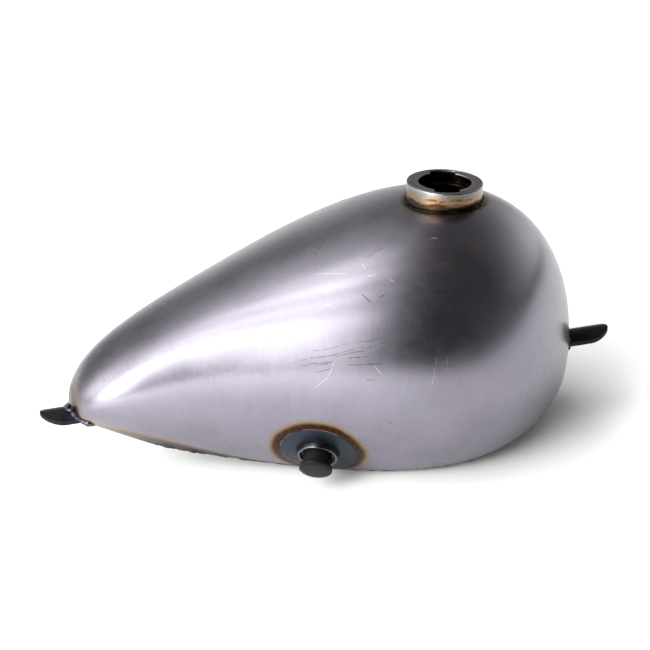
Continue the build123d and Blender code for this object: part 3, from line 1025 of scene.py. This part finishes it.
def skin_material():
    material, tree, shader, place = new_material("sheet_steel")
    x, y, z = node(tree, "ShaderNodeSeparateXYZ", {0: place}).outputs

    # Flat map of the right-hand skin, a little wavy
    wave = node(tree, "ShaderNodeTexNoise", {"Vector": place, "Scale": 55.0, "Detail": 2.0}).outputs["Color"]
    turn = calc(tree, "ARCTAN2", calc(tree, "SUBTRACT", z, TIP_HEIGHT), times(tree, y, -1.0))
    flat_values = {0: x, 1: times(tree, turn, FLAT_MAP_SCALE), 2: 0.0}
    flat = node(tree, "ShaderNodeCombineXYZ", flat_values).outputs[0]
    wave = calc_vector(tree, "SUBTRACT", wave, (0.5, 0.5, 0.5))
    flat = calc_vector(tree, "ADD", flat, calc_vector(tree, "MULTIPLY", wave, (0.003, 0.003, 0)))
    group = scratch_group()
    breaks = fade(tree, grain(tree, place, 420.0, 2.0), 0.36, 0.50)
    dark = times(tree, scratches(tree, flat, DARK_SCRATCHES, group), breaks)
    bright = times(tree, scratches(tree, flat, BRIGHT_SCRATCHES, group), fade(tree, breaks, -0.3, 0.6))

    # Fine scratches everywhere, in patches
    patches = fade(tree, grain(tree, place, 14.0, 2.0), 0.50, 0.68)
    fine = times(tree, hairs(tree, place, 26.0, 0.0022, 1.7), patches)
    fine = calc(tree, "MAXIMUM", fine, times(tree, hairs(tree, place, 17.0, 0.0014, 6.1), patches))
    specks = fade(tree, grain(tree, place, 310.0, 1.0), 0.735, 0.80)
    specks = times(tree, specks, fade(tree, grain(tree, place, 22.0, 1.0), 0.52, 0.64))

    # Smudges and the sheet's grain
    smudge = grain(tree, place, 16.0, 4.0, 0.6)
    streaks = grain(tree, calc_vector(tree, "MULTIPLY", place, (900.0, 60.0, 60.0)), 1.0, 2.0)
    colour = brighter(tree, STEEL, fade(tree, smudge, 0.36, 0.66, 0.93, 1.06))
    colour = brighter(tree, colour, fade(tree, streaks, 0.25, 0.75, 0.975, 1.025))
    stain = fade(tree, distance(tree, place, WARM_SPOT), 0.040, 0.010)
    stain = times(tree, stain, fade(tree, smudge, 0.35, 0.6, 0.10, 0.40))
    colour = blend(tree, stain, colour, WARM_STAIN)

    # Heat round the bung
    jitter = centred(tree, grain(tree, place, 38.0, 3.0, 0.6))
    mottle = grain(tree, place, 420.0, 3.0, 0.7)
    away = distance(tree, place, bung_foot)
    ring_radius = shifted(tree, away, jitter, 0.0045)
    colour = heated(tree, colour, ring_radius, BUNG_HEAT)
    patchy = brighter(tree, BROWN, fade(tree, mottle, 0.38, 0.62, 0.45, 1.5))
    colour = blend(tree, fade(tree, ring_radius, *BUNG_BROWN), colour, patchy)
    inner = shifted(tree, away, jitter, 0.0018)
    ragged = shifted(tree, inner, centred(tree, mottle), 0.0030)
    colour = blend(tree, fade(tree, ragged, *BUNG_SLATE), colour, SLATE)
    line = calc(tree, "ABSOLUTE", calc(tree, "SUBTRACT", inner, BUNG_LINE_RADIUS))
    line = fade(tree, line, 0.00045, 0.00015)
    line = times(tree, line, fade(tree, grain(tree, place, 60.0, 2.0), 0.42, 0.56))
    colour = blend(tree, times(tree, line, 0.8), colour, SCALE_LINE)
    burnt = fade(tree, away, 0.0400, 0.0300)

    # Heat along the lower seam, stronger towards the rear, and round the tab roots and the neck
    spread = calc(tree, "SUBTRACT", x, UNDERSIDE_MIDDLE)
    arc = calc(tree, "SQRT", calc(tree, "SUBTRACT", UNDERSIDE_RADIUS**2, times(tree, spread, spread)))
    above = calc(tree, "SUBTRACT", z, calc(tree, "SUBTRACT", UNDERSIDE_RADIUS + RIM_SHOWING, arc))
    above = shifted(tree, above, jitter, 0.0030)
    rearward = fade(tree, x, -0.060, -0.165, 0.12, 1.0)
    share = calc(tree, "DIVIDE", above, times(tree, rearward, SEAM_TINT_REACH))
    straw = times(tree, fade(tree, share, 0.95, 0.60, 0, 0.5), rearward)
    colour = blend(tree, straw, colour, STRAW)
    amber = times(tree, fade(tree, share, 0.72, 0.45, 0, 0.9), rearward)
    colour = blend(tree, amber, colour, AMBER)
    brown = times(tree, fade(tree, share, 0.50, 0.30), fade(tree, rearward, 0.1, 0.5))
    colour = blend(tree, brown, colour, BROWN)
    for spot, wander, bands in (
        ((REAR_TIP, 0, TIP_HEIGHT), 0.012, REAR_TIP_HEAT),
        ((FRONT_TIP, 0, TIP_HEIGHT), 0.012, FRONT_TIP_HEAT),
        (neck_foot, 0.006, NECK_HEAT),
    ):
        colour = heated(tree, colour, shifted(tree, distance(tree, place, spot), jitter, wander), bands)

    colour = blend(tree, times(tree, dark, 0.92), colour, SCRATCH_DARK)
    light = calc(tree, "MAXIMUM", times(tree, bright, 0.55), times(tree, fine, 0.09))
    colour = blend(tree, light, colour, SCRATCH_BRIGHT)
    colour = blend(tree, times(tree, specks, 0.55), colour, SPECK)

    rough = fade(tree, smudge, 0.32, 0.68, 0.255, 0.315)
    rough = shifted(tree, rough, calc(tree, "MAXIMUM", dark, burnt), 0.12)
    rough = shifted(tree, rough, light, 0.2)
    relief = times(tree, grain(tree, place, 9.0, 2.0), 0.0011)
    relief = shifted(tree, relief, streaks, 0.0000035)
    relief = shifted(tree, relief, dark, -0.00003)
    relief = shifted(tree, relief, times(tree, burnt, mottle), 0.00004)
    finish_shader(tree, shader, colour, rough, relief)
    return material


# ---- Other materials ----
def plain_metal(name, first, second, roughness, scale=60.0):
    """Metal whose colour wanders between two."""
    material, tree, shader, place = new_material(name)
    level = grain(tree, place, scale, 4.0, 0.6)
    colour = blend(tree, fade(tree, level, 0.35, 0.65), first, second)
    rough = fade(tree, level, 0.3, 0.7, roughness - 0.05, roughness + 0.05)
    relief = times(tree, grain(tree, place, scale * 6, 3.0), 0.00002)
    finish_shader(tree, shader, colour, rough, relief)
    return material


def weld_material():
    """Weld metal with dark scale, blue and brown in patches."""
    material, tree, shader, place = new_material("weld_metal")
    level = grain(tree, place, 130.0, 3.0, 0.6)
    colour = blend(tree, fade(tree, level, 0.42, 0.60), (0.030, 0.034, 0.043, 1), (0.085, 0.093, 0.125, 1))
    brown = grain(tree, calc_vector(tree, "ADD", place, (0.3, 0.1, 0.7)), 90.0, 2.0)
    colour = blend(tree, times(tree, fade(tree, brown, 0.55, 0.68), 0.7), colour, (0.11, 0.060, 0.028, 1))
    relief = times(tree, grain(tree, place, 700.0, 3.0), 0.00008)
    finish_shader(tree, shader, colour, fade(tree, level, 0.35, 0.65, 0.42, 0.24), relief)
    return material


def turned(tree, place, foot, axis, fineness):
    """Fine rings as a lathe leaves them, the height along the axis and the distance from it."""
    away = calc_vector(tree, "SUBTRACT", place, tuple(foot))
    height = calc_vector(tree, "DOT_PRODUCT", away, tuple(axis))
    along = brighter(tree, tuple(axis), height)
    radius = calc_vector(tree, "LENGTH", calc_vector(tree, "SUBTRACT", away, along))
    pair = node(tree, "ShaderNodeCombineXYZ", {0: radius, 1: height, 2: 0.0}).outputs[0]
    broken = calc_vector(tree, "ADD", calc_vector(tree, "MULTIPLY", place, (0.012, 0.012, 0.012)), pair)
    return grain(tree, broken, fineness, 2.0), height, radius


def collar_material():
    """Turned steel, straw to brown towards the weld at its foot."""
    material, tree, shader, place = new_material("collar_steel")
    rings, height, _ = turned(tree, place, neck_foot, neck_axis, 1500.0)
    cloud = grain(tree, place, 70.0, 3.0, 0.6)
    colour = brighter(tree, (0.25, 0.235, 0.23, 1), fade(tree, rings, 0.3, 0.7, 0.80, 1.15))
    edge = shifted(tree, height, centred(tree, cloud), 0.011)
    colour = blend(tree, fade(tree, edge, 0.0098, 0.0066, 0, 0.85), colour, (0.27, 0.185, 0.10, 1))
    patches = grain(tree, calc_vector(tree, "MULTIPLY", place, (0.5, 0.5, 3.0)), 95.0, 3.0, 0.6)
    stained = times(tree, fade(tree, patches, 0.50, 0.60), fade(tree, edge, 0.0085, 0.006))
    colour = blend(tree, stained, colour, (0.13, 0.055, 0.019, 1))
    colour = blend(tree, fade(tree, edge, 0.0030, 0.0010, 0, 0.9), colour, (0.045, 0.024, 0.014, 1))
    rough = fade(tree, cloud, 0.35, 0.65, 0.24, 0.34)
    finish_shader(tree, shader, colour, rough, times(tree, rings, 0.000012))
    return material


def seat_material():
    """The bayonet ring: grey on top; inside, brown oxide darkened almost to black as painted shade."""
    material, tree, shader, place = new_material("bayonet_steel")
    rings, height, _ = turned(tree, place, neck_foot, neck_axis, 900.0)
    colour = brighter(tree, (0.20, 0.18, 0.19, 1), fade(tree, rings, 0.3, 0.7, 0.72, 1.2))
    inside = fade(tree, height, NECK_HEIGHT - 0.0004, NECK_HEIGHT - 0.0016)
    cloud = grain(tree, place, 110.0, 3.0, 0.6)
    # Inside the ring: brown oxide, taken nearly to black as painted shade of the dark throat.
    rust_and_painted_shade = blend(tree, fade(tree, cloud, 0.40, 0.62), (0.006, 0.003, 0.002, 1), (0.036, 0.016, 0.008, 1))
    colour = blend(tree, inside, colour, rust_and_painted_shade)
    rough = fade(tree, cloud, 0.35, 0.65, 0.26, 0.40)
    finish_shader(tree, shader, colour, rough, times(tree, rings, 0.00002))
    return material


def bung_material():
    """Turned steel, darker at its foot, with painted shade in its recess."""
    material, tree, shader, place = new_material("bung_steel")
    rings, height, radius = turned(tree, place, bung_foot, bung_axis, 1200.0)
    colour = brighter(tree, (0.13, 0.135, 0.155, 1), fade(tree, rings, 0.3, 0.7, 0.80, 1.15))
    cloud = grain(tree, place, 150.0, 3.0)
    low = shifted(tree, height, centred(tree, cloud), 0.004)
    colour = blend(tree, fade(tree, low, 0.0036, 0.0020, 0, 0.9), colour, (0.075, 0.085, 0.105, 1))
    # Painted shade: the recess round the bore, under the plug's head, is coloured nearly black.
    recess_painted_shade = times(tree, fade(tree, radius, 0.0140, 0.0137), fade(tree, height, 0.0045, 0.0035))
    colour = blend(tree, recess_painted_shade, colour, (0.03, 0.028, 0.03, 1))
    rough = fade(tree, cloud, 0.35, 0.65, 0.22, 0.32)
    finish_shader(tree, shader, colour, rough, times(tree, rings, 0.00001))
    return material


def coated(name, colour, roughness, scale, relief, gloss):
    """A smooth dark coat or moulding, slightly uneven."""
    material, tree, shader, place = new_material(name)
    level = grain(tree, place, scale, 4.0, 0.6)
    colour = brighter(tree, colour, fade(tree, level, 0.3, 0.7, 0.75, 1.25))
    rough = fade(tree, level, 0.3, 0.7, roughness - 0.04, roughness + 0.05)
    shader.inputs["Specular IOR Level"].default_value = gloss
    relief = times(tree, grain(tree, place, scale * 7, 2.0), relief)
    finish_shader(tree, shader, colour, rough, relief, metallic=0.0)
    return material


def floor_material():
    """Pale, with painted shade: dark from well out to the tank's right and front, for the metal to mirror
    there.
    """
    material, tree, shader, place = new_material("pale_floor_painted_shade")
    towards = calc_vector(tree, "DOT_PRODUCT", place, (sin(radians(45)), -cos(radians(45)), 0))
    # Painted shade: the floor darkens far out to the front right, so the metal mirrors a dark surround there.
    shade = fade(tree, towards, 0.60, 0.95, 1.0, 0.12)
    shade = times(tree, shade, fade(tree, grain(tree, place, 3.0, 2.0), 0.3, 0.7, 0.995, 1.005))
    shader.inputs["Specular IOR Level"].default_value = 0.0
    finish_shader(tree, shader, brighter(tree, (0.93, 0.93, 0.93, 1), shade), 0.9, metallic=0.0)
    return material


def wear(material, *pieces):
    for piece in pieces:
        piece.data.materials.clear()
        piece.data.materials.append(material)


# The trays and the tube channel wear dark steel, darkened further as painted shade under the skins' lower
# edge.
tray_steel = plain_metal("tray_steel", (0.036, 0.041, 0.053, 1), (0.060, 0.066, 0.084, 1), 0.34)
root_weld = plain_metal("root_weld", (0.010, 0.010, 0.012, 1), (0.11, 0.12, 0.16, 1), 0.28, 150.0)
# Near-black weld metal for the beads round the neck and the bung.
near_black_weld = plain_metal("near_black_weld", (0.005, 0.005, 0.005, 1), (0.016, 0.014, 0.015, 1), 0.45, 120.0)
black_coat = coated("black_coat", (0.007, 0.007, 0.009, 1), 0.28, 90.0, 0.00002, gloss=0.14)
black_plastic = coated("black_plastic", (0.008, 0.008, 0.009, 1), 0.30, 60.0, 0.00001, gloss=0.08)
wear(skin_material(), left_skin, right_skin, crown_seam)
wear(tray_steel, left_floor, right_floor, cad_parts["tube_channel"])
wear(weld_material(), left_seam_bead, right_seam_bead)
wear(root_weld, front_root, rear_root)
wear(near_black_weld, neck_bead, bung_bead)
wear(black_coat, front_saddle, rear_saddle)
wear(collar_material(), filler_collar)
wear(seat_material(), bayonet_ring)
wear(bung_material(), bung_ring)
wear(black_plastic, storage_plug)

# ---- Floor and light ----
FLOOR_REACH = 8.0
corners = [(x * FLOOR_REACH, y * FLOOR_REACH, 0) for x, y in ((-1, -1), (1, -1), (1, 1), (-1, 1))]
floor = make_object("floor", corners, [(0, 1, 2, 3)])
wear(floor_material(), floor)

# Soft lamps as glows in the world. The first six join into one tall lamp that rises at the right rear and
# leans over the tank to its left side. The rest are fainter: front left, a broad one at the rear, and two at
# the left. Each is (azimuth from the right-hand side towards the front, elevation, sharpness, strength), with
# the angles in degrees.
GLOWS = [
    (-57, 0, 22, 7.8),
    (-56, 20, 22, 6.0),
    (-53, 42, 32, 5.4),
    (-79, 64, 60, 5.8),
    (-132, 67, 110, 8.5),
    (-162, 57, 150, 5.5),
    (120, 5, 9, 1.4),
    (-101, 26, 8, 3.6),
    (-171, 42, 100, 1.4),
    (180, 3, 30, 1.2),
]
GLOW_COLOUR = (1.0, 1.015, 0.975)
DIM = 0.08


def light_world():
    world = bpy.data.worlds.new("studio")
    bpy.context.scene.world = world
    world.use_nodes = True
    tree = world.node_tree
    direction = node(tree, "ShaderNodeTexCoord").outputs["Generated"]
    total = None
    for azimuth, elevation, sharpness, strength in GLOWS:
        az, el = radians(azimuth), radians(elevation)
        centre = (cos(el) * sin(az), -cos(el) * cos(az), sin(el))
        facing = calc_vector(tree, "DOT_PRODUCT", direction, centre)
        glow = calc(tree, "EXPONENT", calc(tree, "MULTIPLY_ADD", facing, sharpness, -sharpness))
        glow = calc(tree, "MULTIPLY", glow, strength)
        total = glow if total is None else calc(tree, "ADD", total, glow)
    background = tree.nodes["Background"]
    colour = calc_vector(tree, "ADD", brighter(tree, GLOW_COLOUR, total), (DIM, DIM, DIM))
    tree.links.new(colour, background.inputs["Color"])


def floor_light(name, place, size, power):
    """A soft light that faces down and whitens the floor. It has no mirror image of its own in the metal."""
    lamp = bpy.data.lights.new(name, "AREA")
    lamp.shape = "SQUARE"
    lamp.size = size
    lamp.energy = power
    holder = bpy.data.objects.new(name, lamp)
    holder.location = place
    holder.visible_glossy = False
    holder.visible_camera = False
    bpy.context.scene.collection.objects.link(holder)


light_world()
floor_light("overhead", (0.1, 0.75, 1.7), 2.2, 2.8)
floor_light("front_left", (-0.45, -0.33, 0.30), 0.3, 2.2)
floor_light("far_left", (-0.62, -0.48, 0.30), 0.4, 5.5)
floor_light("behind_right", (0.60, 0.25, 0.50), 0.6, 0.8)
bpy.context.scene.view_settings.view_transform = "Standard"
